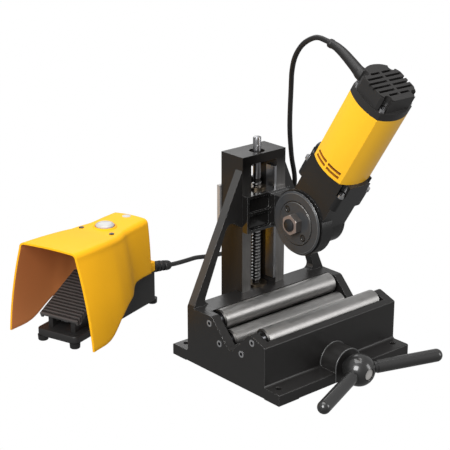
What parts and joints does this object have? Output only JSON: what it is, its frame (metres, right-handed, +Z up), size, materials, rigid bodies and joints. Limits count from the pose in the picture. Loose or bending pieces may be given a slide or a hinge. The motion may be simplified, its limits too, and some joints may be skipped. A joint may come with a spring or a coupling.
{
  "type": "pipe cutting machine",
  "caption": "Bench pipe cutting machine with roller base, column with hand-cranked lead screw, tilted motor head with cutting wheel, and hooded foot switch on a cord",
  "frame": {"origin": "centre of the bench bolt pattern, on the plane of the machine's underside", "axes": "+X along the rollers to the operator's right, +Y from the operator to the column, +Z up"},
  "size_m": [0.5498, 0.5819, 0.4841],
  "materials": {
    "black_casting": "semi-gloss black enamel",
    "black_bar": "blackened machined steel",
    "gloss_casting": "glossy black enamel",
    "steel": "turned steel",
    "roller_steel": "rolled steel tube, slightly worn",
    "bright_screw": "zinc-plated screws",
    "bronze": "bearing bronze",
    "wheel_steel": "hardened dark cutting wheel",
    "yellow_plastic": "glossy yellow",
    "black_plastic": "fine-grained black",
    "pale_plastic": "pale grey button",
    "switch_plastic": "grey switch body",
    "rubber": "soft black rubber",
    "copper_winding": "lacquered copper winding and core",
    "core_steel": "stacked core sheets"
  },
  "bodies": {
    "frame": {"base_casting": "black_casting", "column": "black_bar", "guide_gib": "steel", "column_bolts": "bright_screw", "roller_axles": "steel", "axle_screws": "bright_screw", "roller_bearings": "steel", "crank_bushes": "bronze", "screw_bearing": "bronze", "top_bush": "bronze", "foot_base": "black_plastic", "foot_feet": "rubber", "foot_hood": "yellow_plastic", "hood_screws": "bright_screw", "pedal_switch": "switch_plastic", "stop_switch": "switch_plastic", "pedal_pin": "steel", "pedal_spring": "bright_screw", "foot_boot": "rubber", "cord_motor": "rubber", "cord_coil": "rubber", "cord_foot": "rubber"},
    "rear_upper": {"rear_upper_roller": "roller_steel"},
    "rear_lower": {"rear_lower_roller": "roller_steel"},
    "front_lower": {"front_lower_roller": "roller_steel"},
    "front_upper": {"front_upper_roller": "roller_steel"},
    "crank": {"crank_shaft": "steel", "crank_gear": "steel", "crank_hub": "black_casting", "crank_arms": "black_casting", "hub_disc": "bright_screw"},
    "screw": {"lead_screw": "steel", "screw_gear": "steel"},
    "head": {"carriage": "gloss_casting", "screw_nut": "bronze", "keeper_plate": "black_bar", "m5_screws": "bright_screw", "gear_housing": "black_casting", "gear_cover": "black_casting", "flange_screws": "bright_screw", "motor_housing": "yellow_plastic", "field_stator": "core_steel", "brush_gear": "black_plastic", "motor_bearings": "steel", "end_cap": "black_plastic", "cap_screws": "bright_screw", "motor_boot": "rubber"},
    "rotor": {"armature": "copper_winding", "commutator": "bronze", "cooling_fan": "switch_plastic", "bevel_pinion": "steel"},
    "counter": {"counter_shaft": "steel", "crown_gear": "steel"},
    "wheel": {"wheel_shaft": "steel", "wheel_gear": "steel", "wheel_driver": "steel", "cutting_wheel": "wheel_steel", "wheel_nut": "bright_screw"},
    "foot_pedal": {"pedal": "black_plastic"},
    "stop": {"stop_button": "pale_plastic"}
  },
  "joints": [
    {"name": "crank_turn", "type": "hinge", "parent": "frame", "child": "crank", "pos_m": [0.004, -0.1, 0.0214], "axis": [0, -1, 0], "range_deg": [-6048, 2592]},
    {"name": "screw_turn", "type": "hinge", "parent": "frame", "child": "screw", "pos_m": [0.004, 0.079, 0.1], "axis": [0, 0, 1], "range_deg": [-2600, 6057]},
    {"name": "carriage_slide", "type": "slide", "parent": "frame", "child": "head", "axis": [0, 0, 1], "range_m": [-0.0841, 0.0361], "deforming": ["cord_motor"]},
    {"name": "armature_spin", "type": "hinge", "parent": "head", "child": "rotor", "pos_m": [0.0235, -0.016, 0.21], "axis": [0, -0.5299, 0.848], "continuous": true},
    {"name": "counter_spin", "type": "hinge", "parent": "head", "child": "counter", "pos_m": [0.0235, -0.03508, 0.24053], "axis": [1, 0, 0], "continuous": true},
    {"name": "wheel_spin", "type": "hinge", "parent": "head", "child": "wheel", "pos_m": [0, -0.016, 0.21], "axis": [1, 0, 0], "continuous": true},
    {"name": "rear_upper_spin", "type": "hinge", "parent": "frame", "child": "rear_upper", "pos_m": [0, 0.0292, 0.0758], "axis": [1, 0, 0], "continuous": true},
    {"name": "rear_lower_spin", "type": "hinge", "parent": "frame", "child": "rear_lower", "pos_m": [0, 0.0073, 0.0517], "axis": [1, 0, 0], "continuous": true},
    {"name": "front_lower_spin", "type": "hinge", "parent": "frame", "child": "front_lower", "pos_m": [0, -0.0393, 0.0517], "axis": [1, 0, 0], "continuous": true},
    {"name": "front_upper_spin", "type": "hinge", "parent": "frame", "child": "front_upper", "pos_m": [0, -0.0612, 0.0758], "axis": [1, 0, 0], "continuous": true},
    {"name": "pedal_press", "type": "hinge", "parent": "frame", "child": "foot_pedal", "pos_m": [-0.21786, 0.25941, 0.032], "axis": [-0.3057, 0.9521, 0], "range_deg": [0, 8], "stiffness_Nm_per_rad": 6, "springref_deg": -5.73},
    {"name": "stop_press", "type": "slide", "parent": "frame", "child": "stop", "axis": [0, 0, -1], "range_m": [0, 0.004], "stiffness_N_per_m": 1500, "springref_m": -0.002}
  ],
  "couplings": [
    {"joint": "screw_turn", "follows": "crank_turn", "ratio": -1},
    {"joint": "carriage_slide", "follows": "crank_turn", "m_per_rad": 0.00079577},
    {"joint": "counter_spin", "follows": "armature_spin", "ratio": 0.16667},
    {"joint": "wheel_spin", "follows": "armature_spin", "ratio": -0.041667}
  ]
}
